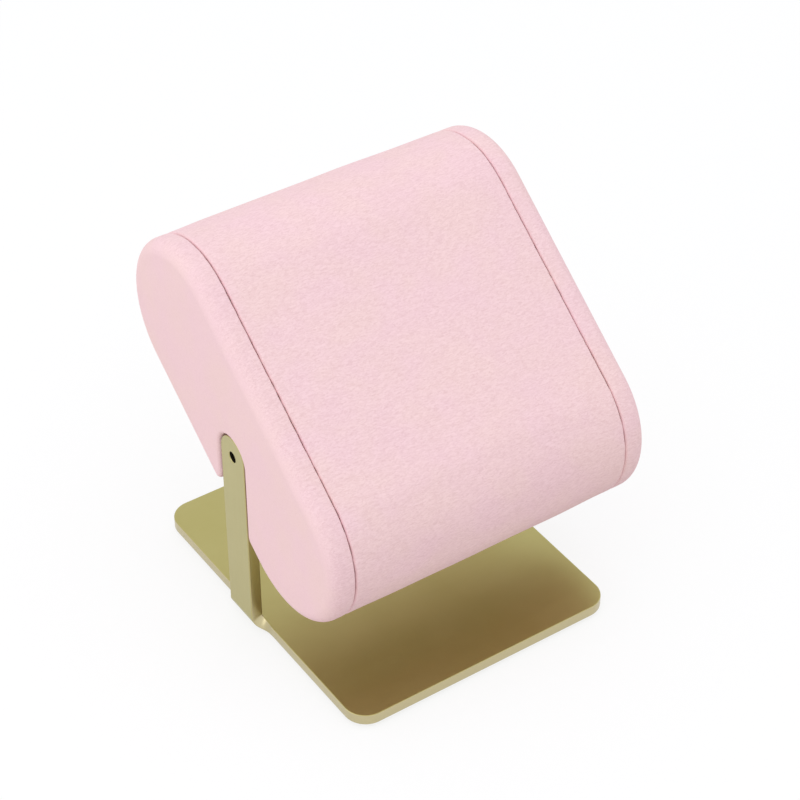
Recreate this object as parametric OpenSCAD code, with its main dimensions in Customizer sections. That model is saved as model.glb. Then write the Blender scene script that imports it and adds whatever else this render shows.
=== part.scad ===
// Bracelet holder: a slanted suede pillow carried on one ear of a folded brass stand.
// Millimetres. X runs along the pillow, -Y is the front, Z is up.
// The origin is on the table, under the middle of the stand's plate.

/* [Stand] */
// Width of the plate along the pillow
plate_w = 55; // [45:1:80]
// Depth of the plate from front to back
plate_d = 66.4; // [50:0.2:90]
// Radius of the plate's four corners
plate_corner_r = 4.3; // [2:0.1:10]
// Thickness of the metal sheet
sheet_t = 2.2; // [1.5:0.1:3]
// Inside radius of the fold between plate and ear
fold_r = 0.3; // [0.2:0.1:2]
// How far the ear's outer face stands outside the plate's edge
ear_step = 1.95; // [0.5:0.05:2.4]
// Width of the ear
ear_w = 7.5; // [6:0.5:12]
// How far the ear's centre line lies behind the plate's middle
ear_back = 2.4; // [-6:0.1:6]
// How far the centre of the ear's round top lies above the screw
ear_rise = 0.4; // [0:0.1:1]
// Radius of the two fillets where the ear leaves the plate
ear_root_r = 2.8; // [1:0.1:5]

/* [Base pad] */
// Thickness of the foam pad under the plate
pad_t = 0.8; // [0.5:0.1:2]
// How far the pad stays inside the plate's edge
pad_inset = 2.5; // [1:0.5:6]

/* [Pillow] */
// Length of the pillow over both end faces
pillow_len = 66.5; // [50:0.5:90]
// Long side of the pillow's oval section
pillow_h = 72.5; // [60:0.5:85]
// Short side of the pillow's oval section
pillow_t = 31.3; // [26:0.1:40]
// Angle of the section's long side above the horizontal
pillow_lean = 37.2; // [25:0.1:60]
// Height of the pillow's centre above the plate's underside
pillow_rise = 43.65; // [40:0.05:60]
// Thickness of the suede
suede_t = 0.9; // [0.6:0.1:1.2]
// Depth of each end cap, from its seam to its face
cap_depth = 4.75; // [4.75:0.25:8]
// Radius of the soft rim round each end face
rim_r = 2.6; // [1.5:0.1:3.5]

/* [Ear pocket and screw] */
// How far the ear's face sits below the pillow's end face
ear_recess = 0.35; // [0:0.05:0.9]
// Gap between the ear and the side of its pocket
pocket_gap = 0.5; // [0.1:0.05:0.6]
// Radius of the suede's tip, where the pocket's far wall meets the underside
tip_r = 2.2; // [1.2:0.2:3]
// How far the screw sits below the pillow's centre
screw_drop = 5.4; // [3:0.1:9]
// Diameter of the set screw
screw_d = 2; // [2:0.5:3]
// Length of the set screw
screw_len = 8; // [6:1:12]
// How far the set screw is sunk below the ear's face
screw_sink = 0.2; // [0.1:0.1:1]
// Width across the flats of the screw's hexagon socket
socket_af = 0.9; // [0.9:0.1:1.5]
// Depth of the screw's hexagon socket
socket_depth = 1.1; // [1:0.1:2]
// Outside diameter of the threaded insert's barrel
insert_d = 3.5; // [3.5:0.5:5]
// Length of the insert's barrel behind its flange
insert_len = 5; // [4:0.5:8]
// Diameter of the insert's flange
flange_d = 8; // [7:0.5:12]
// Thickness of the insert's flange
flange_t = 1; // [0.6:0.1:1.5]
// Radial gap round the screw and round the insert
fit_gap = 0.05; // [0.02:0.01:0.1]

/* [Hidden] */
$fn = 96;
brass_gold = "#B9AE78";
suede_pink = "#F0CDD1";
foam_grey = "#4A4A4C";
foam_white = "#E9E6DE";
board_tan = "#B58F64";
insert_steel = "#C9C6BE";
screw_black = "#1E1D1C";
// Overshoot of a cutting tool beyond the face it cuts
over = 1;
// The tip's round crosses the underside by this much, so that it doesn't graze it
graze = 0.02;
// Heights: the table is at zero, the plate lies on its pad
plate_z = pad_t;
pillow_z = plate_z + pillow_rise;
screw_z = pillow_z - screw_drop;
// Places along the pillow, from the ear at its left end to its right end
ear_out_x = -(plate_w / 2 + ear_step);
ear_in_x = ear_out_x + sheet_t;
left_face_x = ear_out_x - ear_recess;
left_seam_x = left_face_x + cap_depth;
right_face_x = left_face_x + pillow_len;
right_seam_x = right_face_x - cap_depth;
body_len = right_seam_x - left_seam_x;
// The oval section is two half circles joined by straight sides
end_r = pillow_t / 2;
end_span = pillow_h / 2 - end_r;
board_r = end_r - suede_t;
board_t = cap_depth - suede_t;
board_rim_r = rim_r - suede_t;
bore_r = screw_d / 2 + fit_gap;

// Rectangle with four round corners, centred
module rounded_plate_outline(w, d, r) {
    square([w - 2 * r, d], center = true);
    square([w, d - 2 * r], center = true);
    for (sx = [-1, 1], sy = [-1, 1])
        translate([sx * (w / 2 - r), sy * (d / 2 - r)]) circle(r);
}

// Side view of the fold: a flat leg along the plate, a bend and an upright leg
module fold_profile(height) {
    outer_r = fold_r + sheet_t;
    difference() {
        circle(outer_r);
        circle(fold_r);
        translate([0, -outer_r - over]) square(2 * (outer_r + over));
        translate([-outer_r - over, 0]) square(2 * (outer_r + over));
    }
    translate([-outer_r, 0]) square([sheet_t, height - outer_r]);
    translate([0, -outer_r]) square([outer_r, sheet_t]);
}

// Upright strip with a round top
module strip_outline(w, height) {
    translate([-w / 2, 0]) square([w, height]);
    translate([0, height]) circle(w / 2);
}

// Front view of the ear: the strip, with a fillet at each side of its root
module ear_outline(w, height, root_r) {
    strip_outline(w, height);
    difference() {
        translate([-w / 2 - root_r, 0]) square([w + 2 * root_r, root_r]);
        for (side = [-1, 1])
            translate([side * (w / 2 + root_r), root_r]) circle(root_r);
    }
}

// Turns a flat outline drawn as (across, up) into a slab that starts at x and is t thick
module upright_slab(x, t) {
    translate([x, 0, 0]) rotate([90, 0, 90]) linear_extrude(t) children();
}

// Puts what is drawn on the section's own axes at a place along the pillow
module on_pillow(x) {
    translate([x, ear_back, pillow_z]) rotate([0, 90, 0]) rotate([0, 0, 90 + pillow_lean]) children();
}

// Puts a turned piece on the screw's axis at a place along the pillow
module on_screw_axis(x) {
    translate([x, ear_back, screw_z]) rotate([0, 90, 0]) children();
}

// The pillow's section at a given half thickness
module oval(r) {
    square([2 * end_span, 2 * r], center = true);
    for (side = [-1, 1]) translate([side * end_span, 0]) circle(r);
}

// Half of an end cap's side view: square at the seam, round at the rim
module rim_profile(r, depth, rim) {
    translate([0, -over]) square([r, depth - rim + over]);
    square([r - rim, depth]);
    translate([r - rim, depth - rim]) circle(rim);
}

// Oval block with a round rim, from a little behind the seam to the end face
module rimmed_block(r, depth, rim) {
    for (side = [-1, 1])
        translate([side * end_span, 0, 0]) rotate_extrude() rim_profile(r, depth, rim);
    translate([-end_span, 0, 0]) rotate([90, 0, 90]) linear_extrude(2 * end_span) {
        rim_profile(r, depth, rim);
        mirror([1, 0]) rim_profile(r, depth, rim);
    }
}

// The same block cut off square at the seam
module cap_block(r, depth, rim) {
    difference() {
        rimmed_block(r, depth, rim);
        translate([0, 0, -2 * over]) linear_extrude(2 * over) square(2 * pillow_h, center = true);
    }
}

// Suede skin of an end cap
module cap_skin() {
    difference() {
        cap_block(end_r, cap_depth, rim_r);
        rimmed_block(board_r, board_t, board_rim_r);
    }
}

// The sharp corner between an upright wall at the left and the pillow's underside, without its round
module tip_outline(r) {
    reach = tip_r + over;
    difference() {
        polygon(reach * [
            [0, 0], [-1, 0], [-1, -(1 + sin(pillow_lean)) / cos(pillow_lean)],
            [sin(pillow_lean), -cos(pillow_lean)]
        ]);
        circle(r);
    }
}

// Pocket round the ear and round a skin of a given thickness, open at the end face and at the underside.
// The corner beside the tip keeps a suede floor.
module ear_pocket(skin) {
    drop = pillow_h / 2 + over;
    depth = ear_in_x - left_face_x + over;
    tip_y = ear_w / 2 + pocket_gap + tip_r;
    tip_z = pillow_z - (end_r - tip_r + graze - tip_y * sin(pillow_lean)) / cos(pillow_lean);
    translate([0, ear_back, screw_z - drop]) upright_slab(left_face_x - over, depth)
        strip_outline(ear_w + 2 * (pocket_gap + skin), drop + ear_rise);
    translate([0, ear_back + tip_y, tip_z]) upright_slab(left_face_x - over, depth - suede_t + skin)
        tip_outline(tip_r - skin);
}

// Plate and ear, folded from one sheet
module stand() {
    fold_x = ear_out_x + fold_r + sheet_t;
    ear_height = screw_z + ear_rise - plate_z;
    color(brass_gold) difference() {
        union() {
            translate([0, 0, plate_z]) linear_extrude(sheet_t)
                rounded_plate_outline(plate_w, plate_d, plate_corner_r);
            translate([0, ear_back, plate_z]) intersection() {
                translate([fold_x, plate_d / 2, fold_r + sheet_t]) rotate([90, 0, 0])
                    linear_extrude(plate_d) fold_profile(ear_height + ear_w);
                upright_slab(ear_out_x - over, 2 * (fold_r + sheet_t) + over)
                    ear_outline(ear_w, ear_height, ear_root_r);
            }
        }
        on_screw_axis(ear_out_x - over) cylinder(r = bore_r, h = sheet_t + 2 * over);
    }
}

// Thin foam sheet that the plate stands on
module base_pad() {
    color(foam_grey) linear_extrude(pad_t)
        rounded_plate_outline(plate_w - 2 * pad_inset, plate_d - 2 * pad_inset, plate_corner_r);
}

// Firm foam block inside the pillow, hollowed for the threaded insert
module foam_core() {
    color(foam_white) difference() {
        on_pillow(left_seam_x) linear_extrude(body_len) oval(board_r);
        on_screw_axis(left_seam_x - over) cylinder(r = flange_d / 2 + fit_gap, h = flange_t + over);
        on_screw_axis(left_seam_x - over) cylinder(r = insert_d / 2 + fit_gap, h = flange_t + insert_len + over);
        on_screw_axis(left_seam_x) cylinder(r = bore_r, h = screw_len);
    }
}

// Suede sleeve round the foam, between the two seams
module body_cover() {
    color(suede_pink) on_pillow(left_seam_x) linear_extrude(body_len) difference() {
        oval(end_r);
        oval(board_r);
    }
}

// Board that the ear is screwed to, with a pocket for the ear and its suede lining
module left_end_board() {
    color(board_tan) difference() {
        on_pillow(left_seam_x) mirror([0, 0, 1]) cap_block(board_r, board_t, board_rim_r);
        ear_pocket(suede_t);
        on_screw_axis(left_face_x) cylinder(r = insert_d / 2 + fit_gap, h = cap_depth + over);
    }
}

// Board that closes the other end
module right_end_board() {
    color(board_tan) on_pillow(right_seam_x) cap_block(board_r, board_t, board_rim_r);
}

// Suede over the left board, cut open at the ear and tucked into the board's pocket
module left_end_cover() {
    color(suede_pink) difference() {
        union() {
            on_pillow(left_seam_x) mirror([0, 0, 1]) cap_skin();
            intersection() {
                on_pillow(left_seam_x) mirror([0, 0, 1]) cap_block(end_r, cap_depth, rim_r);
                ear_pocket(suede_t);
            }
        }
        ear_pocket(0);
    }
}

// Suede over the right board
module right_end_cover() {
    color(suede_pink) on_pillow(right_seam_x) cap_skin();
}

// Flanged insert: the flange bears on the inside of the left board
module threaded_insert() {
    floor_t = left_seam_x - ear_in_x;
    color(insert_steel) difference() {
        union() {
            on_screw_axis(left_seam_x) cylinder(r = flange_d / 2, h = flange_t);
            on_screw_axis(ear_in_x) cylinder(r = insert_d / 2, h = floor_t + flange_t + insert_len);
        }
        on_screw_axis(ear_in_x - over) cylinder(r = bore_r, h = cap_depth + flange_t + insert_len + over);
    }
}

// Headless screw through the ear into the insert, with a hexagon socket and a chamfered point
module set_screw() {
    point = screw_d / 5;
    socket_r = socket_af / sqrt(3);
    color(screw_black) on_screw_axis(ear_out_x + screw_sink) difference() {
        union() {
            cylinder(r = screw_d / 2, h = screw_len - point);
            translate([0, 0, screw_len - point]) cylinder(r1 = screw_d / 2, r2 = screw_d / 2 - point, h = point);
        }
        translate([0, 0, -over]) cylinder(r = socket_r, h = socket_depth + over, $fn = 6);
    }
}

stand();
base_pad();
foam_core();
body_cover();
left_end_board();
right_end_board();
left_end_cover();
right_end_cover();
threaded_insert();
set_screw();
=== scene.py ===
import math

import bmesh
import bpy
import numpy as np
from mathutils import Matrix, Vector
from mathutils.geometry import delaunay_2d_cdt


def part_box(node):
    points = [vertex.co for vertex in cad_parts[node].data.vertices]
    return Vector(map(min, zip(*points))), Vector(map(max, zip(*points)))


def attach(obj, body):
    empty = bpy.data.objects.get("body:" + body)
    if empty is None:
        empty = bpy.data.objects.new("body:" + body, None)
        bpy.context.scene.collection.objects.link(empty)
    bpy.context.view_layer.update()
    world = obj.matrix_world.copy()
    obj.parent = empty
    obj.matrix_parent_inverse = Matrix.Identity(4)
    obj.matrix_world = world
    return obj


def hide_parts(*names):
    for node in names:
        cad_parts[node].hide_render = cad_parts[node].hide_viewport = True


# Bracelet holder: a slanted suede pillow carried on one ear of a folded brass stand.
# Sizes are real ones in millimetres. They become metres where a mesh is made.

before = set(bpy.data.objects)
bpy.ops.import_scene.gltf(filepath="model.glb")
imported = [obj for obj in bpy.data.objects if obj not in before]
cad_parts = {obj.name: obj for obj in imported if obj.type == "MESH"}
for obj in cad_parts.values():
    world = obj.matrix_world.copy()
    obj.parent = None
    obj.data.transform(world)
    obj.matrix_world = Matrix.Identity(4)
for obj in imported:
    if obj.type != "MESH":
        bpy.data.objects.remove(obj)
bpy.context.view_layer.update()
MM = 0.001


def node_box(node):
    """Lowest and highest corner of a CAD node, in millimetres."""
    low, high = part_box(node)
    return np.array(low) / MM, np.array(high) / MM


# Stand: what the CAD box doesn't give of the folded sheet
SHEET_T = 2.2
FOLD_R = 0.3
EAR_W = 7.5
# The ear's round top turns about a centre that lies this far above the screw
EAR_RISE = 0.4
BORE_R = 1.05
PLATE_CORNER_R = 4.3
# The root fillet reaches this far along the plate's edge, and this far out along the blank
ROOT_ALONG = 2.8
ROOT_OUT = 2.0
# The bend fades into the flat plate over this length beside the root fillet
BEND_FADE = 1.2
# Radius that tumbling leaves on the sheet's cut edges, and radius of the foam pad's die-cut edge
BRASS_ARRIS = 0.15
PAD_ARRIS = 0.15
# A face has a ring of points this far inside its arris, which keeps its shading flat up to there
FACE_RING = 0.07

# Pillow: what the CAD boxes don't give of the oval section and its suede
END_R = 15.65
SUEDE_T = 0.9
RIM_R = 2.6
# Radius of the suede where it is turned in at a seam, and where it rolls into the ear's pocket
SEAM_ROLL = 0.5
POCKET_GAP = 0.5
POCKET_ROLL = 0.85
# Dark slit between two turned-in edges at a seam, and how far and how often its edges waver
SEAM_SLIT = 0.18
SEAM_WAVER = 0.06
WAVER_SPACING = 1.6
# The ear's round top nearly touches the pocket: the pocket's round is this much lower than in the CAD
POCKET_DROP = 0.3
# The suede's edge at the underside drops from a pocket wall to the pocket's floor over this width
WALL_FOOT = 0.03
# Radius of the tip between the pocket's far wall and the underside, and how far it crosses the underside
TIP_R = 2.2
TIP_GRAZE = 0.02
# How far the padding pushes the suede out, on the sleeve and on an end face
SLEEVE_PUFF = 0.15
FACE_PUFF = 0.12
# The push fades to nothing over these lengths: at the sleeve's seams, at a face's rim and at the pocket
DRAWN_IN = 7.0
RIM_FADE = 4
POCKET_FADE = 3
# Slow hollows and swells of wrapped suede: distance between them, and height on the sleeve and on a face
HOLLOW_SPACING = 17.0
SLEEVE_HOLLOW = 0.1
FACE_HOLLOW = 0.08
# Seeds of the hollows of each cover. Its edges waver by the next seed
SLEEVE_SEED, LEFT_SEED, RIGHT_SEED = 11, 21, 31
# The cloth that finds the push is simulated at this many times its size, for this many frames
CLOTH_SCALE = 10
CLOTH_FRAMES = 12

# Places taken from the frame
stand_low, stand_high = node_box("stand")
pad_low, pad_high = node_box("base_pad")
screw_low, screw_high = node_box("set_screw")
sleeve_low, sleeve_high = node_box("body_cover")
ear_y = (screw_low[1] + screw_high[1]) / 2
screw_z = (screw_low[2] + screw_high[2]) / 2
ear_in_x = stand_low[0] + SHEET_T
pocket_top = np.array([ear_y, screw_z + EAR_RISE - POCKET_DROP])
left_seam_x, right_seam_x = sleeve_low[0], sleeve_high[0]
section_mid = (sleeve_low[1:] + sleeve_high[1:]) / 2
span = (sleeve_high[1:] - sleeve_low[1:]) / 2 - END_R
END_SPAN = math.hypot(*span)
section_long = span / END_SPAN
section_short = np.array([-section_long[1], section_long[0]])
plan_axes = np.stack([section_long, section_short], -1)
# Centre of the tip's round, from front to back and up, and the point where the round meets the underside
tip_across = EAR_W / 2 + POCKET_GAP + TIP_R
tip_level = (END_R - TIP_R + TIP_GRAZE - tip_across * section_long[1]) / section_long[0]
tip_mid = section_mid + [tip_across, -tip_level]
tip_end = tip_mid - TIP_R * section_short

# Points of a mesh that lie closer than this are one point
WELD = 2e-4
# Points on a quarter turn of a small roll and of the rim, and along the sleeve
ROLL_STEPS = 7
RIM_STEPS = 13
RUN_STEPS = 64
# Steps round an end of the pillow's section and along its straight side
ARC_STEPS = 40
FLAT_STEPS = 36
# Points of a plate's corner, a root fillet, the ear's top and the bore, whose last point is its first again
CORNER_STEPS = 16
ROOT_STEPS = 18
TOP_STEPS = 40
BORE_STEPS = 49
# Distance between points along the pocket's lines, and between the loose points of an end face
LINE_STEP = 0.4
SPOT_STEP = 1.1
# Half the length and half the width of the field of loose points, which covers the flat of an end face
SPOT_LONG = 34
SPOT_SHORT = 13
# Share of a quarter circle's radius up to which it is followed, as its slope has no limit at the end
QUARTER_END = 0.99999


def tube(rings, closed=False):
    """Quads over an array (ring, point, 3) whose rings run round. Closed joins the last ring to the first."""
    count, around = rings.shape[:2]
    first = np.arange(count if closed else count - 1)[:, None]
    point, after = np.arange(around), np.roll(np.arange(around), -1)
    second = (first + 1) % count
    quads = np.stack([first * around + point, first * around + after,
                      second * around + after, second * around + point], -1)
    return rings.reshape(-1, 3), quads.reshape(-1, 4)


def open_edges(triangles, count):
    """Edges, as pairs of points, that only one triangle has."""
    edges = triangles[:, [0, 1, 1, 2, 2, 0]].reshape(-1, 2)
    return edges[~np.isin(edges[:, 0] * count + edges[:, 1], edges[:, 1] * count + edges[:, 0])]


def edge_strip(edges, layers):
    """Quads along a list of edges, from each layer (layer, point, 3) to the next one."""
    ring, local = np.unique(edges, return_inverse=True)
    local = local.reshape(-1, 2)
    base = np.arange(len(layers) - 1)[:, None] * len(ring)
    quads = np.stack([base + local[:, 0], base + local[:, 1],
                      base + len(ring) + local[:, 1], base + len(ring) + local[:, 0]], -1)
    return layers[:, ring].reshape(-1, 3), quads.reshape(-1, 4)


def inside(points, outline):
    """Even-odd rule: true where an odd number of the outline's sides lie to the right of the point."""
    after = np.roll(outline, -1, 0)
    x, y = points[:, 0, None], points[:, 1, None]
    crossed = (outline[:, 1] > y) != (after[:, 1] > y)
    rise = np.where(crossed, after[:, 1] - outline[:, 1], 1.0)
    meets = outline[:, 0] + (y - outline[:, 1]) / rise * (after[:, 0] - outline[:, 0])
    return (crossed & (x < meets)).sum(1) % 2 == 1


def plan_triangles(lines, spots, keep):
    """Triangles of a flat region, which follow the lines and use the loose spots.

    keep(centres) says which of them belong to the region."""
    starts = np.cumsum([0] + [len(line) for line in lines])[:-1]
    edges = np.concatenate([np.arange(len(line) - 1) + start for line, start in zip(lines, starts)])
    points = [*map(Vector, np.concatenate([*lines, spots]))]
    made = delaunay_2d_cdt(points, np.stack([edges, edges + 1], -1).tolist(), [], 0, WELD / 10, False)
    plan, triangles = np.array([tuple(p) for p in made[0]]), np.array(made[2])
    triangles = triangles[keep(plan[triangles].mean(1))]
    used, triangles = np.unique(triangles, return_inverse=True)
    return plan[used], triangles.reshape(-1, 3)


def make_piece(name, patches, node, material, blank=None):
    """One closed mesh from patches of (points, faces) in millimetres. It stands for a CAD node.

    Doubles are merged and the faces turned outwards. `blank` gives each point its place on the flat sheet."""
    starts = np.cumsum([0] + [len(points) for points, _ in patches])
    points = np.concatenate([points for points, _ in patches])
    faces = [face for (_, part), start in zip(patches, starts) for face in (part + start).tolist()]
    mesh = bpy.data.meshes.new(name)
    mesh.from_pydata((points * MM).tolist(), [], faces)
    if blank is not None:
        mesh.attributes.new("blank", "FLOAT_VECTOR", "POINT").data.foreach_set("vector", blank.ravel())
    solid = bmesh.new()
    solid.from_mesh(mesh)
    bmesh.ops.remove_doubles(solid, verts=solid.verts, dist=WELD * MM)
    bmesh.ops.recalc_face_normals(solid, faces=solid.faces)
    solid.to_mesh(mesh)
    solid.free()
    mesh.shade_smooth()
    mesh.materials.append(material)
    piece = bpy.data.objects.new(name, mesh)
    bpy.context.scene.collection.objects.link(piece)
    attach(piece, "root")
    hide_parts(node)
    return piece


def slow_waves(points, seed, spacing=HOLLOW_SPACING):
    """Hollows and swells between about -1 and 1: the mean of eight plane waves in seeded directions."""
    random = np.random.default_rng(seed)
    toward = random.normal(size=(8, 3))
    toward /= np.linalg.norm(toward, axis=1, keepdims=True)
    turns = toward / (spacing * random.uniform(0.7, 1.6, (8, 1)))
    return 2 * np.sin(2 * np.pi * (points @ turns.T + random.uniform(size=8))).mean(-1)


def smooth(value):
    """Smooth step from 0 at 0 to 1 at 1."""
    value = np.clip(value, 0, 1)
    return value * value * (3 - 2 * value)


# Folded sheet


def arc(mid, radius, start, stop, steps):
    """Points of an arc about mid, radius as (along u, along v), from one angle to another in degrees."""
    angle = np.radians(np.linspace(start, stop, steps))
    return np.stack([mid[0] + radius[0] * np.cos(angle), mid[1] + radius[1] * np.sin(angle)], -1)


def straight(start, stop, step=0.6):
    """Points from start up to but without stop, about one step apart."""
    start, stop = np.array(start, float), np.array(stop, float)
    count = max(int(np.linalg.norm(stop - start) / step), 1)
    return start + (stop - start) * (np.arange(count) / count)[:, None]


def plate_corners(half_w, half_d, radius):
    """Three corners of a plate's outline, anticlockwise: back left, back right, front right."""
    spread = (radius, radius)
    return [arc((half_w - radius, half_d - radius), spread, 0, 90, CORNER_STEPS),
            arc((radius - half_w, half_d - radius), spread, 90, 180, CORNER_STEPS),
            arc((radius - half_w, radius - half_d), spread, 180, 270, CORNER_STEPS)]


def sheet_patches(outlines, spots, thickness, arris, place):
    """A sheet with round arrises, as patches: rings round each outline, and its two faces.

    An outline runs anticlockwise and a hole clockwise, in the sheet's own (u, v). A ring is the outline
    moved in by arris times one minus the sine, at a height of arris times one minus the cosine.
    place(u, v, height) gives the points in space. The second list holds each point's (u, v, height)."""
    turn = np.linspace(0, np.pi / 2, ROLL_STEPS)
    hold = arris + FACE_RING
    inset = np.concatenate([[hold], arris * (1 - np.sin(turn)), arris * (1 - np.sin(turn[::-1])), [hold]])
    rise = arris * (1 - np.cos(turn))
    height = np.concatenate([[0], rise, thickness - rise[::-1], [thickness]])
    blanks, faces, lines = [], [], []
    for outline in outlines:
        along = np.roll(outline, -1, 0) - np.roll(outline, 1, 0)
        outward = np.stack([along[:, 1], -along[:, 0]], -1) / np.linalg.norm(along, axis=1, keepdims=True)
        rings = outline - outward * inset[:, None, None]
        tall = np.broadcast_to(height[:, None, None], (*rings.shape[:2], 1))
        flat, quads = tube(np.concatenate([rings, tall], -1))
        blanks.append(flat)
        faces.append(quads)
        lines.append(np.concatenate([rings[0], rings[0][:1]]))
    edge = lines[0]
    holes = lines[1:]

    def keep(centres):
        """True inside the edge and outside every hole."""
        kept = inside(centres, edge)
        for hole in holes:
            kept &= ~inside(centres, hole)
        return kept

    plan, triangles = plan_triangles(lines, spots, keep)
    for level in (0.0, thickness):
        blanks.append(np.column_stack([plan, np.full(len(plan), level)]))
        faces.append(triangles)
    return [(place(*blank.T), part) for blank, part in zip(blanks, faces)], blanks


def folded(u, v, height):
    """Place in space of a point of the blank. u runs out towards the ear and v to the back.

    Up to the bend the blank is flat. In the bend a point turns about the fold's centre at its own radius,
    by its distance along the neutral line over that line's radius. Beyond it the blank stands upright.
    Beside the ear the bend fades out, so that the plate's edge stays flat."""
    outer = FOLD_R + SHEET_T
    start = -(stand_low[0] + outer)
    neutral = FOLD_R + SHEET_T / 2
    end = start + neutral * np.pi / 2
    turn = np.clip((u - start) / neutral, 0, np.pi / 2)
    radius = outer - height
    bent = np.stack([-np.minimum(u, start) - radius * np.sin(turn), v,
                     stand_low[2] + outer - radius * np.cos(turn) + np.maximum(u - end, 0)], -1)
    flat = np.stack([-u, v, stand_low[2] + height], -1)
    beside = np.abs(v - ear_y) - EAR_W / 2
    share = 1 - smooth(beside / (ROOT_ALONG + BEND_FADE))
    return flat + (bent - flat) * share[:, None]


def make_stand(material):
    """Plate and ear as one blank, folded up: a plate with four round corners and a round-ended tab."""
    half_w, half_d = stand_high[0], stand_high[1]
    outer = FOLD_R + SHEET_T
    top = -(stand_low[0] + outer) + (FOLD_R + SHEET_T / 2) * math.pi / 2 + screw_z - stand_low[2] - outer
    low, high = ear_y - EAR_W / 2, ear_y + EAR_W / 2
    root = (ROOT_OUT, ROOT_ALONG)
    corner = half_d - PLATE_CORNER_R
    # A straight starts this far past the arc before it. The last arc stops a degree short of the first point
    past = 0.3
    outline = np.concatenate([
        straight((half_w, -corner), (half_w, low - ROOT_ALONG)),
        arc((half_w + ROOT_OUT, low - ROOT_ALONG), root, 180, 90, ROOT_STEPS),
        straight((half_w + ROOT_OUT + past, low), (top, low)),
        arc((top + EAR_RISE, ear_y), (EAR_W / 2, EAR_W / 2), -90, 90, TOP_STEPS),
        straight((top, high), (half_w + ROOT_OUT, high)),
        arc((half_w + ROOT_OUT, high + ROOT_ALONG), root, 270, 180, ROOT_STEPS),
        straight((half_w, high + ROOT_ALONG + past), (half_w, corner)),
        *plate_corners(half_w, half_d, PLATE_CORNER_R),
        arc((half_w - PLATE_CORNER_R, -corner), (PLATE_CORNER_R, PLATE_CORNER_R), 270, 359, CORNER_STEPS),
    ])
    bore = arc((top, ear_y), (BORE_R, BORE_R), 360, 0, BORE_STEPS)[:-1]
    # Loose spots let the bend and its fade follow their curves. Reach and step, outwards and along the edge
    out, out_step, side, side_step = 4, 0.2, 9, 0.45
    across, along = np.meshgrid(np.arange(half_w - out, half_w + out, out_step),
                                ear_y + np.arange(-side, side + side_step / 2, side_step))
    spots = np.stack([across.ravel(), along.ravel()], -1)
    patches, blanks = sheet_patches([outline, bore], spots, SHEET_T, BRASS_ARRIS, folded)
    return make_piece("stand_sheet", patches, "stand", material, np.concatenate(blanks))


def make_pad(material):
    """Foam pad: the same kind of plate, flat on the table."""
    half_w, half_d = pad_high[0], pad_high[1]
    spread = (PLATE_CORNER_R, PLATE_CORNER_R)
    outline = np.concatenate([*plate_corners(half_w, half_d, PLATE_CORNER_R),
                              arc((half_w - PLATE_CORNER_R, PLATE_CORNER_R - half_d), spread, 270, 360,
                                  CORNER_STEPS)])
    patches, _ = sheet_patches([outline], np.zeros((1, 2)), pad_high[2] - pad_low[2], PAD_ARRIS,
                               lambda u, v, height: np.stack([-u, v, pad_low[2] + height], -1))
    return make_piece("foam_pad", patches, "base_pad", material)


# Suede pillow


def oval():
    """The section's path: for each point the end centre it turns about, and its direction.

    Half circles about the two ends are joined by straights, on which the direction stays the same."""
    turn = np.linspace(-np.pi / 2, np.pi / 2, ARC_STEPS, endpoint=False)
    run = np.linspace(END_SPAN, -END_SPAN, FLAT_STEPS, endpoint=False)
    level = np.full(FLAT_STEPS, np.pi / 2)
    angle = np.concatenate([turn, level, turn + np.pi, -level])
    ends = np.concatenate([np.full(ARC_STEPS, END_SPAN), run, np.full(ARC_STEPS, -END_SPAN), -run])
    return ends, np.stack([np.cos(angle), np.sin(angle)], -1)


def on_pillow(x, plan):
    """Places (along the section's long side, across it) at x in space."""
    yz = section_mid + plan[..., :1] * section_long + plan[..., 1:] * section_short
    return np.concatenate([np.broadcast_to(x, plan.shape[:-1])[..., None], yz], -1)


def oval_ring(radius):
    """The section's path at a radius (point) or at an array of radii (ring, point), on the section's plan."""
    ends, toward = oval()
    radius = np.asarray(radius, float)[..., None] * toward
    return radius + np.stack([ends, np.zeros_like(ends)], -1)


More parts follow.
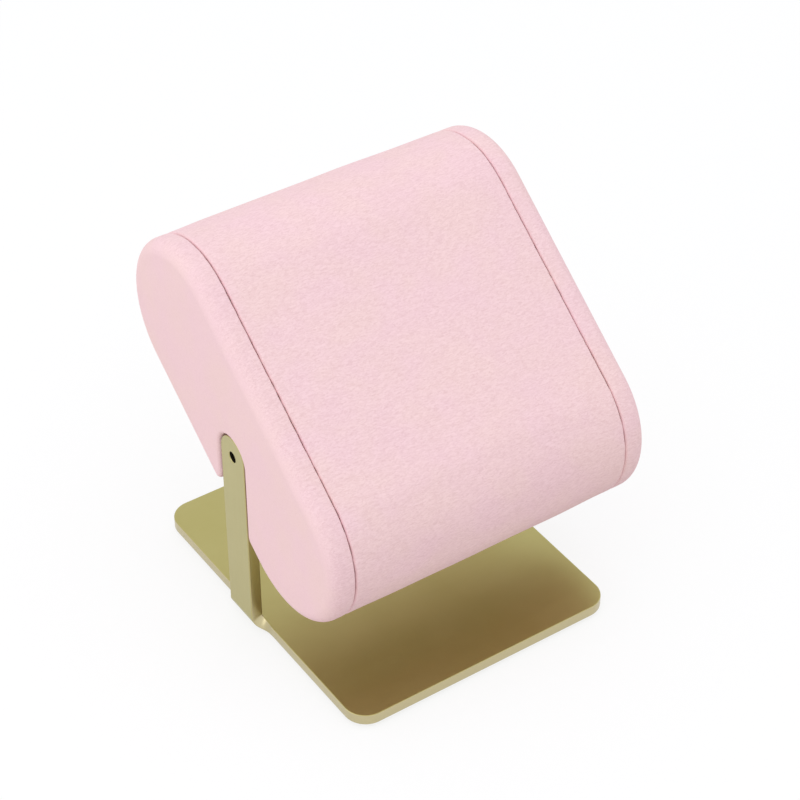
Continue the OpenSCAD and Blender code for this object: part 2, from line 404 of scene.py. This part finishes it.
def pressed_out(x_run):
    """How far the foam presses the sleeve out, in millimetres, for each place along it and round it.

    The sleeve is a sheet of cloth held along both seams, with pressure behind it. It is simulated at
    a larger scale. Travel levels off at the puff, as the wrapped suede stops it."""
    rings = on_pillow(x_run[:, None], oval_ring(np.full(len(x_run), END_R)[:, None]))
    outward = on_pillow(0, oval_ring(1.0)) - on_pillow(0, oval_ring(0.0))
    seam = smooth(np.minimum(x_run - left_seam_x, right_seam_x - x_run) / DRAWN_IN)[:, None]
    larger = CLOTH_SCALE * MM
    points, quads = tube(rings)
    mesh = bpy.data.meshes.new("sleeve_cloth")
    mesh.from_pydata((points * larger).tolist(), [], quads.tolist())
    cloth = bpy.data.objects.new("sleeve_cloth", mesh)
    bpy.context.scene.collection.objects.link(cloth)
    around = rings.shape[1]
    held = cloth.vertex_groups.new(name="held_at_seams")
    held.add([*range(around), *range(len(points) - around, len(points))], 1.0, "REPLACE")
    modifier = cloth.modifiers.new("pressed", "CLOTH")
    sheet = modifier.settings
    sheet.vertex_group_mass = held.name
    sheet.quality = 5
    sheet.mass = 0.3
    sheet.tension_stiffness = sheet.compression_stiffness = 12
    sheet.bending_stiffness = 2
    sheet.use_pressure = True
    sheet.uniform_pressure_force = 4
    sheet.effector_weights.gravity = 0
    scene = bpy.context.scene
    for step in range(1, CLOTH_FRAMES + 1):
        scene.frame_set(step)
    pressed = cloth.evaluated_get(bpy.context.evaluated_depsgraph_get()).to_mesh()
    moved = np.empty(len(points) * 3)
    pressed.vertices.foreach_get("co", moved)
    travel = ((moved.reshape(rings.shape) / larger - rings) * outward).sum(-1)
    bpy.data.objects.remove(cloth)
    bpy.data.meshes.remove(mesh)
    scene.frame_set(1)
    return SLEEVE_PUFF * np.tanh(travel / SLEEVE_PUFF) * seam


def make_sleeve(material):
    """Suede sleeve between the seams: a closed profile carried round the oval.

    The profile is the outer run with the foam's push and slow hollows, a quarter roll at each seam,
    and the inner run one suede thickness below."""
    turn = np.linspace(0, np.pi / 2, ROLL_STEPS)[:-1]
    x_roll, r_roll = SEAM_ROLL * (1 - np.cos(turn)), END_R - SEAM_ROLL * (1 - np.sin(turn))
    start, stop = left_seam_x + SEAM_SLIT / 2, right_seam_x - SEAM_SLIT / 2
    x_run = np.linspace(start + SEAM_ROLL, stop - SEAM_ROLL, RUN_STEPS)
    rings = on_pillow(x_run[:, None], oval_ring(np.full(len(x_run), END_R)[:, None]))
    seam = smooth(np.minimum(x_run - left_seam_x, right_seam_x - x_run) / DRAWN_IN)[:, None]
    run = END_R + pressed_out(x_run) + SLEEVE_HOLLOW * seam * slow_waves(rings, SLEEVE_SEED)
    whole = np.ones((1, run.shape[1]))
    radius = np.concatenate([r_roll[:, None] * whole, run, r_roll[::-1, None] * whole,
                             (END_R - SUEDE_T) * np.repeat(whole, 2, 0)])
    x = np.concatenate([start + x_roll, x_run, stop - x_roll[::-1], [stop, start]])
    near = np.clip(1 - np.minimum(x - start, stop - x) / SEAM_ROLL, 0, 1)[:, None]
    waver = SEAM_WAVER * slow_waves(on_pillow(0, oval_ring(END_R)), SLEEVE_SEED + 1, WAVER_SPACING)
    rings = on_pillow(x[:, None] + near * waver, oval_ring(radius))
    sleeve = make_piece("suede_sleeve", [tube(rings, closed=True)], "body_cover", material)
    return sleeve


def pocket_lines():
    """The pocket's outline at several distances: round the tip, up the far wall, round the top and down."""
    lean = math.degrees(math.atan2(section_long[1], section_long[0]))
    # The outermost line lies this far outside the roll. The far wall's lines run this far down, and the near
    # wall's twice as far
    outside, down = 0.4, 12
    # The foot of the tip's wall lies this far outside the tip's round, as the suede's edge drops there
    tip_foot = 0.12
    lines = []
    roll = POCKET_ROLL * (1 - np.cos(np.linspace(0, np.pi / 2, ROLL_STEPS + 2)))
    for gap in [*roll, POCKET_ROLL + outside]:
        half = EAR_W / 2 + POCKET_GAP + gap
        beyond = [arc(tip_end, (gap, gap), lean, lean + 90, 9)[:-1]] if gap > 0 else []
        yz = np.concatenate([
            *beyond,
            arc(tip_mid, (TIP_R - gap, TIP_R - gap), lean + 270, 180, 26),
            straight((ear_y + half, tip_mid[1] + LINE_STEP), (ear_y + half, pocket_top[1]), LINE_STEP),
            arc(pocket_top, (half, half), 0, 180, 44),
            straight((ear_y - half, pocket_top[1] - LINE_STEP), (ear_y - half, pocket_top[1] - 2 * down),
                     LINE_STEP),
        ])
        lines.append(yz)
    # The corner beside the tip has an edge along the ear's strip. Each wall has a foot, and so has the tip's
    wall = ear_y + EAR_W / 2 + POCKET_GAP
    near_foot = 2 * ear_y - wall + WALL_FOOT
    walls = (wall, tip_mid[1]), (wall - WALL_FOOT, tip_mid[1]), (near_foot, pocket_top[1] - down)
    for place, top in walls:
        lines.append(straight((place, top), (place, top - down), LINE_STEP))
    lines.append(arc(tip_mid, (TIP_R + tip_foot, TIP_R + tip_foot), lean + 262, 184, 24))
    return [(yz - section_mid) @ plan_axes for yz in lines]


def from_pocket(plan):
    """Distance of each plan point outside the pocket, and the direction in which it grows.

    The pocket is the ear's strip with its round top, widened by the gap. To it belongs the corner that the
    tip's round leaves out: inside the corner's angle the distance is the round's radius less that from its
    centre, and past the angle it is the distance from the round's end."""
    yz = on_pillow(0, plan)[..., 1:]
    away = yz - pocket_top
    away[:, 1] = np.maximum(away[:, 1], 0)
    inward, past = tip_mid - yz, yz - tip_end
    in_corner = (inward[:, 1] > 0) & (inward @ section_long > 0) & (yz[:, 0] > ear_y)
    reach, depth, beyond = (np.maximum(np.linalg.norm(v, axis=1), 1e-9) for v in (away, inward, past))
    strip = reach - EAR_W / 2 - POCKET_GAP
    at_end = ~in_corner & (beyond < strip)
    gap = np.select([in_corner, at_end], [TIP_R - depth, beyond], strip)
    toward = np.select([in_corner[:, None], at_end[:, None]],
                       [inward / depth[:, None], past / beyond[:, None]], away / reach[:, None])
    return gap, toward @ plan_axes


def make_end_cover(name, seam_x, face_x, node, material, pocket, seed):
    """Suede over an end board: a face that turns over a round rim and comes back to the seam.

    On the plan, the depth above the seam is level, then falls as the rim's quarter circle. At the pocket
    it falls by the roll's quarter circle as well, down to the wall, and beside the tip to the suede floor.
    The inner skin lies one suede thickness below along the surface's normal, whose slope is the sum of
    both circles' tangents."""
    side = 1 if face_x > seam_x else -1
    seam_x += side * SEAM_SLIT / 2
    depth = abs(face_x - seam_x)
    floor = seam_x - ear_in_x
    tilt = np.linspace(0, np.pi / 2, RIM_STEPS)
    # One ring lies on the flat, this far inside the rim. Loose spots keep these distances from rim and pocket
    on_flat, off_rim, off_pocket = 0.6, 1, 0.7
    radii = np.concatenate([[END_R - RIM_R - on_flat], END_R - RIM_R + RIM_R * np.sin(tilt),
                            [END_R - SUEDE_T]])
    lines = [np.concatenate([ring, ring[:1]]) for ring in oval_ring(radii[:, None])]
    long, short = np.meshgrid(np.arange(-SPOT_LONG, SPOT_LONG, SPOT_STEP),
                              np.arange(-SPOT_SHORT, SPOT_SHORT, SPOT_STEP))
    spots = np.stack([long.ravel(), short.ravel()], -1)

    def polar(plan):
        """Distance from the line between the end centres, and its direction."""
        away = plan - np.stack([np.clip(plan[:, 0], -END_SPAN, END_SPAN), np.zeros(len(plan))], -1)
        far = np.linalg.norm(away, axis=1, keepdims=True)
        return far[:, 0], away / np.maximum(far, 1e-9)

    spots = spots[polar(spots)[0] < END_R - RIM_R - off_rim]
    if pocket:
        lines += pocket_lines()
        spots = spots[np.abs(from_pocket(spots)[0] - POCKET_ROLL / 2) > POCKET_ROLL / 2 + off_pocket]

    def beside_strip(plan):
        """True behind the ear's strip, where the pocket's corner keeps a suede floor."""
        return on_pillow(0, plan)[:, 1] > ear_y + EAR_W / 2 + POCKET_GAP - WELD

    def keep(centres):
        """True inside the rim. In the pocket only the suede's edge at the underside and the corner stay."""
        far = polar(centres)[0]
        kept = far < END_R - WELD
        if pocket:
            kept &= (from_pocket(centres)[0] > 0) | (far > END_R - SUEDE_T) | beside_strip(centres)
        return kept

    plan, triangles = plan_triangles(lines, spots, keep)
    far, toward = polar(plan)
    over = np.clip((far - END_R + RIM_R) / RIM_R, 0, QUARTER_END)
    level = depth - RIM_R * (1 - np.sqrt(1 - over**2))
    slope = (over / np.sqrt(1 - over**2))[:, None] * toward
    inner_floor = np.zeros(len(plan), bool)
    if pocket:
        gap, outward = from_pocket(plan)
        into = np.clip(1 - gap / POCKET_ROLL, 0, QUARTER_END)
        corner_floor = np.clip(level, floor, floor + SUEDE_T)
        level = level - POCKET_ROLL * (1 - np.sqrt(1 - into**2))
        slope = slope - (into / np.sqrt(1 - into**2))[:, None] * outward
        inner_floor = (level <= floor) & (gap < POCKET_ROLL) | (gap < -WELD)
        level = np.where(inner_floor, floor, level)
        in_corner = beside_strip(plan) & (gap < POCKET_ROLL)
        raised = np.where(gap < -WELD, corner_floor, np.maximum(level, corner_floor))
        level = np.where(in_corner, raised, level)
    normal = np.concatenate([slope, np.ones((len(plan), 1))], -1)
    normal /= np.linalg.norm(normal, axis=1, keepdims=True)
    inner_plan = plan - SUEDE_T * normal[:, :2]
    inner_level = level - SUEDE_T * normal[:, 2]
    # Drawn in by this share of the way to the inner radius: faces at the radius itself would have no area
    drawn_share = 0.99
    drawn = plan - drawn_share * toward * np.maximum(far - (END_R - SUEDE_T), 0)[:, None]
    inner_plan = np.where(inner_floor[:, None], drawn, inner_plan)
    inner_level = np.where(inner_floor, floor, inner_level)
    # The padding's crown fades out at the rim and at the pocket
    fade = smooth((END_R - RIM_R - far) / RIM_FADE)
    if pocket:
        fade *= smooth((gap - POCKET_ROLL) / POCKET_FADE)
    face = on_pillow(0, plan)
    level = level + fade * (FACE_PUFF + FACE_HOLLOW * slow_waves(face, seed))

    def skin(place, above_seam):
        """Points in space at a depth above the seam. Near the seam they waver with its edge."""
        near = np.clip(1 - above_seam / SEAM_ROLL, 0, 1)
        waver = SEAM_WAVER * slow_waves(on_pillow(0, place), seed + 1, WAVER_SPACING)
        return on_pillow(seam_x + side * (above_seam + near * waver), place)

    outer = skin(plan, level)
    inner = skin(inner_plan, inner_level)
    edges = open_edges(triangles, len(plan))
    at_rim = (far[edges] > END_R - 10 * WELD).all(1)
    turn = np.linspace(0, np.pi / 2, ROLL_STEPS)
    middle = plan - toward * far[:, None]
    column = [outer]
    for share in (0.5, 1.0):
        column.append(skin(plan, level + (SEAM_ROLL - level) * share))
    for angle in turn[1:]:
        radius = END_R - SEAM_ROLL * (1 - np.cos(angle))
        column.append(skin(middle + toward * radius, SEAM_ROLL * (1 - np.sin(angle)) * np.ones(len(plan))))
    column.append(skin(middle + toward * (END_R - SUEDE_T), np.zeros(len(plan))))
    column.append(inner)
    patches = [(outer, triangles), (inner, triangles), edge_strip(edges[at_rim], np.stack(column))]
    if pocket:
        wall = skin(plan, np.minimum(level, floor))
        behind = skin(inner_plan, np.minimum(inner_level, floor))
        patches.append(edge_strip(edges[~at_rim], np.stack([outer, wall, behind, inner])))
    cover = make_piece(name, patches, node, material)
    return cover


# Materials


def to_linear(hex_colour):
    """Scene-linear colour of an sRGB hex value: each channel goes through the sRGB curve."""
    value = np.array([int(hex_colour[k:k + 2], 16) for k in (1, 3, 5)]) / 255
    return (*np.where(value <= 0.04045, value / 12.92, ((value + 0.055) / 1.055) ** 2.4), 1.0)


def add(tree, kind, inputs=None, **settings):
    """Adds one node with its settings. Each input, by name or number, gets a value or a link."""
    made = tree.nodes.new(kind)
    for name, value in settings.items():
        setattr(made, name, value)
    for name, value in (inputs or {}).items():
        if isinstance(value, bpy.types.NodeSocket):
            tree.links.new(value, made.inputs[name])
        else:
            made.inputs[name].default_value = value
    return made


def new_material(name):
    """An empty material: itself and its node tree."""
    material = bpy.data.materials.new(name)
    material.use_nodes = True
    material.node_tree.nodes.clear()
    return material, material.node_tree


# A colour Mix node takes its factor at input 0 and its colours at 6 and 7, and gives its colour at output 2
FACTOR, FIRST, SECOND, MIXED = 0, 6, 7, 2


def apart(millimetres):
    """Scale of a noise whose grains are this far apart, on coordinates in metres."""
    return 1 / (millimetres * MM)


def brushed_lacquered_brass():
    """Brass sheet, brushed along the blank, then lacquered: olive gold with a soft stretched reflection."""
    material, tree = new_material("brushed_lacquered_brass")
    blank = add(tree, "ShaderNodeAttribute", attribute_name="blank").outputs["Vector"]
    # Real brush lines are about 0.05 mm apart. They are drawn 0.25 mm apart and 40 mm long, to show
    along = add(tree, "ShaderNodeMapping", {"Vector": blank, "Scale": (1 / 40, 1 / 0.25, 1 / 0.25)})
    lines = add(tree, "ShaderNodeTexNoise", {"Vector": along.outputs[0], "Scale": 1.0, "Detail": 3.0})
    # Handling leaves clouds about 12 mm across in the lacquer
    clouds = add(tree, "ShaderNodeTexNoise", {"Vector": blank, "Scale": 1 / 12, "Detail": 3.0})
    tone = add(tree, "ShaderNodeMix", {FACTOR: clouds.outputs[0], FIRST: to_linear("#ADA463"),
                                       SECOND: to_linear("#B8AF74")}, data_type="RGBA")
    # The sheared edge, which is what lies between the blank's two faces, isn't brushed. It is drawn paler, as
    # a painted highlight along the cut edges
    height = add(tree, "ShaderNodeSeparateXYZ", {"Vector": blank}).outputs["Z"]
    edge = add(tree, "ShaderNodeMath", {0: height, 1: SHEET_T / 2, 2: SHEET_T / 2 - BRASS_ARRIS / 2},
               operation="COMPARE")
    tone_with_painted_edge_highlight = add(tree, "ShaderNodeMix", {FACTOR: edge.outputs[0], FIRST: tone.outputs[MIXED],
                                        SECOND: to_linear("#C6BB92")}, data_type="RGBA")
    shine = add(tree, "ShaderNodeMapRange", {"Value": lines.outputs[0], "From Min": 0.3, "From Max": 0.7,
                                             "To Min": 0.29, "To Max": 0.35})
    grooves = add(tree, "ShaderNodeBump", {"Height": lines.outputs[0], "Strength": 0.1,
                                           "Distance": 0.006 * MM})
    metal = add(tree, "ShaderNodeBsdfPrincipled", {
        "Base Color": tone_with_painted_edge_highlight.outputs[MIXED], "Roughness": shine.outputs[0], "Normal": grooves.outputs[0],
        "Metallic": 1.0, "Coat Weight": 0.4, "Coat Roughness": 0.25})
    add(tree, "ShaderNodeOutputMaterial", {"Surface": metal.outputs[0]})
    return material


def sanded_microfibre_suede():
    """Pink microfibre with a short sanded nap: chalky, in two close pinks, with fine strokes along x."""
    material, tree = new_material("sanded_microfibre_suede")
    coordinates = add(tree, "ShaderNodeTexCoord")
    place = coordinates.outputs["Object"]
    # Nap fibres lie along the pillow in wavering strokes, about 0.27 mm wide and 0.8 mm long
    along = add(tree, "ShaderNodeMapping", {"Vector": place, "Scale": (apart(0.8), apart(0.27), apart(0.27))})
    nap = add(tree, "ShaderNodeTexNoise", {"Vector": along.outputs[0], "Scale": 1.0, "Detail": 2.0,
                                           "Roughness": 0.6, "Distortion": 1.0})
    # The end faces are pressed flat, and their nap shows less
    across = add(tree, "ShaderNodeSeparateXYZ", {"Vector": coordinates.outputs["Normal"]})
    facing = add(tree, "ShaderNodeMath", {0: across.outputs["X"]}, operation="ABSOLUTE")
    raised = add(tree, "ShaderNodeMapRange", {"Value": facing.outputs[0], "From Min": 0.5, "From Max": 0.95,
                                              "To Min": 1.0, "To Max": 0.35})
    hollow = add(tree, "ShaderNodeMapRange", {"Value": nap.outputs[0], "From Min": 0.3, "From Max": 0.62,
                                              "To Min": 1.0, "To Max": 0.0})
    depth = add(tree, "ShaderNodeMath", {0: hollow.outputs[0], 1: raised.outputs[0]}, operation="MULTIPLY")
    # Strokes of the hand lay the nap over in patches about 8 mm across, which turn its pink a little
    hands = add(tree, "ShaderNodeTexNoise", {"Vector": place, "Scale": apart(8.0), "Detail": 2.0})
    turned = add(tree, "ShaderNodeMapRange", {"Value": hands.outputs[0], "From Min": 0.35, "From Max": 0.65})
    laid = add(tree, "ShaderNodeMix", {FACTOR: turned.outputs[0], FIRST: to_linear("#FAD8DD"),
                                       SECOND: to_linear("#FADADA")}, data_type="RGBA")
    shade = add(tree, "ShaderNodeMix", {FACTOR: depth.outputs[0], FIRST: to_linear("#FFFFFF"),
                                        SECOND: to_linear("#F2EDED")}, data_type="RGBA")
    colour = add(tree, "ShaderNodeMix", {FACTOR: 1.0, FIRST: laid.outputs[MIXED],
                                         SECOND: shade.outputs[MIXED]},
                 data_type="RGBA", blend_type="MULTIPLY")
    fuzz = add(tree, "ShaderNodeBump", {"Height": depth.outputs[0], "Strength": 0.28, "Distance": 0.1 * MM},
               invert=True)
    cloth = add(tree, "ShaderNodeBsdfPrincipled", {
        "Base Color": colour.outputs[MIXED], "Normal": fuzz.outputs[0], "Roughness": 0.92,
        "Specular IOR Level": 0.2, "Sheen Weight": 0.2, "Sheen Roughness": 0.5,
        "Sheen Tint": to_linear("#FFE9EC")})
    add(tree, "ShaderNodeOutputMaterial", {"Surface": cloth.outputs[0]})
    return material


def cell_foam(name, dark, light, cell):
    """Foam with fine cells: dull, with small pits `cell` millimetres apart."""
    material, tree = new_material(name)
    place = add(tree, "ShaderNodeTexCoord").outputs["Object"]
    cells = add(tree, "ShaderNodeTexVoronoi", {"Vector": place, "Scale": apart(cell)})
    colour = add(tree, "ShaderNodeMix", {FACTOR: cells.outputs["Distance"], FIRST: to_linear(light),
                                         SECOND: to_linear(dark)}, data_type="RGBA")
    pits = add(tree, "ShaderNodeBump", {"Height": cells.outputs["Distance"], "Strength": 0.5,
                                        "Distance": 0.1 * cell * MM})
    foam = add(tree, "ShaderNodeBsdfPrincipled", {
        "Base Color": colour.outputs[MIXED], "Normal": pits.outputs[0], "Roughness": 0.9})
    add(tree, "ShaderNodeOutputMaterial", {"Surface": foam.outputs[0]})
    return material


def pressed_fibreboard():
    """Board pressed from wood fibre: tan, matt, with short darker fibres lying flat."""
    material, tree = new_material("pressed_fibreboard")
    place = add(tree, "ShaderNodeTexCoord").outputs["Object"]
    # Fibres are about 0.2 mm wide and 1.5 mm long, and lie in the plane of the board
    laid = add(tree, "ShaderNodeMapping", {"Vector": place, "Scale": (apart(0.2), apart(1.5), apart(0.4))})
    fibres = add(tree, "ShaderNodeTexNoise", {"Vector": laid.outputs[0], "Scale": 1.0, "Detail": 4.0})
    colour = add(tree, "ShaderNodeMix", {FACTOR: fibres.outputs[0], FIRST: to_linear("#8F6A43"),
                                         SECOND: to_linear("#C7A377")}, data_type="RGBA")
    board = add(tree, "ShaderNodeBsdfPrincipled", {"Base Color": colour.outputs[MIXED], "Roughness": 0.8})
    add(tree, "ShaderNodeOutputMaterial", {"Surface": board.outputs[0]})
    return material


def turned_steel(name, dark, light, roughness, bare):
    """Turned steel: fine rings of the tool change its gloss. Bare is 1 for plated metal, 0 for black."""
    material, tree = new_material(name)
    place = add(tree, "ShaderNodeTexCoord").outputs["Object"]
    # Tool marks are 0.12 mm apart along the axis
    marks = add(tree, "ShaderNodeMapping", {"Vector": place, "Scale": (apart(0.12), apart(3.0), apart(3.0))})
    rings = add(tree, "ShaderNodeTexNoise", {"Vector": marks.outputs[0], "Scale": 1.0, "Detail": 2.0})
    colour = add(tree, "ShaderNodeMix", {FACTOR: rings.outputs[0], FIRST: to_linear(dark),
                                         SECOND: to_linear(light)}, data_type="RGBA")
    gloss = add(tree, "ShaderNodeMapRange", {"Value": rings.outputs[0], "To Min": roughness - 0.08,
                                             "To Max": roughness + 0.08})
    steel = add(tree, "ShaderNodeBsdfPrincipled", {
        "Base Color": colour.outputs[MIXED], "Roughness": gloss.outputs[0], "Metallic": bare,
        "Specular IOR Level": 0.5 * bare})
    add(tree, "ShaderNodeOutputMaterial", {"Surface": steel.outputs[0]})
    return material


# Studio


def seen_directly(tree):
    """1 for rays from the camera, from gloss and through glass, and 0 for rays that light the object."""
    path = add(tree, "ShaderNodeLightPath")
    total = add(tree, "ShaderNodeMath", {0: path.outputs["Is Camera Ray"], 1: path.outputs["Is Glossy Ray"]},
                operation="MAXIMUM")
    return add(tree, "ShaderNodeMath", {0: total.outputs[0], 1: path.outputs["Is Transmission Ray"]},
               operation="MAXIMUM").outputs[0]


def make_floor():
    """White table: almost pure white, with a faint shadow of the object and a deeper one in gloss."""
    # Shares of plain white in what gloss shows of the table, and on top of that in what the camera sees
    in_gloss, more_for_camera = 0.45, 0.35
    material, tree = new_material("white_laminate_table")
    seen = seen_directly(tree)
    tone = add(tree, "ShaderNodeMix", {FACTOR: seen, FIRST: to_linear("#D6D1CC"),
                                       SECOND: to_linear("#FFFFFF")}, data_type="RGBA")
    paper = add(tree, "ShaderNodeBsdfDiffuse", {"Color": tone.outputs[MIXED]})
    white = add(tree, "ShaderNodeEmission", {"Color": (1, 1, 1, 1), "Strength": 1.0})
    camera = add(tree, "ShaderNodeLightPath").outputs["Is Camera Ray"]
    glow = add(tree, "ShaderNodeMath", {0: seen, 1: in_gloss}, operation="MULTIPLY")
    share = add(tree, "ShaderNodeMath", {0: camera, 1: more_for_camera, 2: glow.outputs[0]},
                operation="MULTIPLY_ADD")
    mix = add(tree, "ShaderNodeMixShader", {0: share.outputs[0], 1: paper.outputs[0], 2: white.outputs[0]})
    add(tree, "ShaderNodeOutputMaterial", {"Surface": mix.outputs[0]})
    half = 2.0
    corners = [(-half, -half, 0), (half, -half, 0), (half, half, 0), (-half, half, 0)]
    mesh = bpy.data.meshes.new("table")
    mesh.from_pydata(corners, [], [(0, 1, 2, 3)])
    mesh.materials.append(material)
    table = bpy.data.objects.new("table", mesh)
    bpy.context.scene.collection.objects.link(table)


def make_sky():
    """Plain white room. What lights the object is a softer share of it."""
    world = bpy.data.worlds.new("white_room")
    bpy.context.scene.world = world
    world.use_nodes = True
    tree = world.node_tree
    tree.nodes.clear()
    shown = add(tree, "ShaderNodeBackground", {"Color": (1, 1, 1, 1), "Strength": 1.0})
    light = add(tree, "ShaderNodeBackground", {"Color": to_linear("#FBFCFF"), "Strength": 0.9})
    mix = add(tree, "ShaderNodeMixShader", {0: seen_directly(tree), 1: light.outputs[0], 2: shown.outputs[0]})
    add(tree, "ShaderNodeOutputWorld", {"Surface": mix.outputs[0]})


def add_softbox(name, place, size, watts):
    """Square softbox at a place in millimetres, turned to the pillow."""
    lamp = bpy.data.lights.new(name, "AREA")
    lamp.size = size * MM
    lamp.energy = watts
    softbox = bpy.data.objects.new(name, lamp)
    softbox.location = Vector(place) * MM
    aim = Vector((0, 0, section_mid[1] * MM)) - softbox.location
    softbox.rotation_euler = aim.to_track_quat("-Z", "Y").to_euler()
    bpy.context.scene.collection.objects.link(softbox)


# Camera fitted to the stand and the seams: direction, roll and lens, and the point that it aims at
CAMERA_AZIMUTH = -34.17
CAMERA_ELEVATION = 39.13
CAMERA_ROLL = -0.17
CAMERA_LENS = 107.9
CAMERA_AIM = (5.3, 2.15, 35.95)
CAMERA_DISTANCE = 429.3


def make_camera():
    """Camera on a line from its aim, at its azimuth and elevation, turned by its roll."""
    azimuth, elevation, roll = (math.radians(a) for a in (CAMERA_AZIMUTH, CAMERA_ELEVATION, CAMERA_ROLL))
    back = Vector((math.sin(azimuth) * math.cos(elevation), -math.cos(azimuth) * math.cos(elevation),
                   math.sin(elevation)))
    right = Vector((math.cos(azimuth), math.sin(azimuth), 0))
    up = back.cross(right)
    across = right * math.cos(roll) + up * math.sin(roll)
    turn = Matrix((across, back.cross(across), back)).transposed()
    lens = bpy.data.cameras.new("camera")
    lens.sensor_width = 36
    lens.lens = CAMERA_LENS
    camera = bpy.data.objects.new("camera", lens)
    place = (Vector(CAMERA_AIM) + back * CAMERA_DISTANCE) * MM
    camera.matrix_world = Matrix.Translation(place) @ turn.to_4x4()
    bpy.context.scene.collection.objects.link(camera)
    bpy.context.scene.camera = camera


# The whole scene

make_camera()
make_floor()
make_sky()
add_softbox("high_softbox", (-120, -120, 660), 700, 0.8)
add_softbox("left_softbox", (-620, 60, 160), 500, 0.6)

suede = sanded_microfibre_suede()
make_stand(brushed_lacquered_brass())
make_pad(cell_foam("closed_cell_pad_foam", "#1B1B1C", "#2C2C2D", 0.25))
make_sleeve(suede)
left_face_x, right_face_x = node_box("left_end_cover")[0][0], node_box("right_end_cover")[1][0]
make_end_cover("suede_left_end", left_seam_x, left_face_x, "left_end_cover", suede, True, LEFT_SEED)
make_end_cover("suede_right_end", right_seam_x, right_face_x, "right_end_cover", suede, False, RIGHT_SEED)

kept_materials = {
    "foam_core": cell_foam("open_cell_core_foam", "#C9C5BA", "#EFECE4", 0.8),
    "left_end_board": pressed_fibreboard(),
    "threaded_insert": turned_steel("zinc_plated_steel", "#B4B2AC", "#CFCDC6", 0.32, 1.0),
    "set_screw": turned_steel("black_oxide_steel", "#16130E", "#221E17", 0.6, 0.0),
}
kept_materials["right_end_board"] = kept_materials["left_end_board"]
for node, material in kept_materials.items():
    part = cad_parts[node]
    part.data.materials.clear()
    part.data.materials.append(material)

bpy.context.scene.view_settings.view_transform = "Standard"
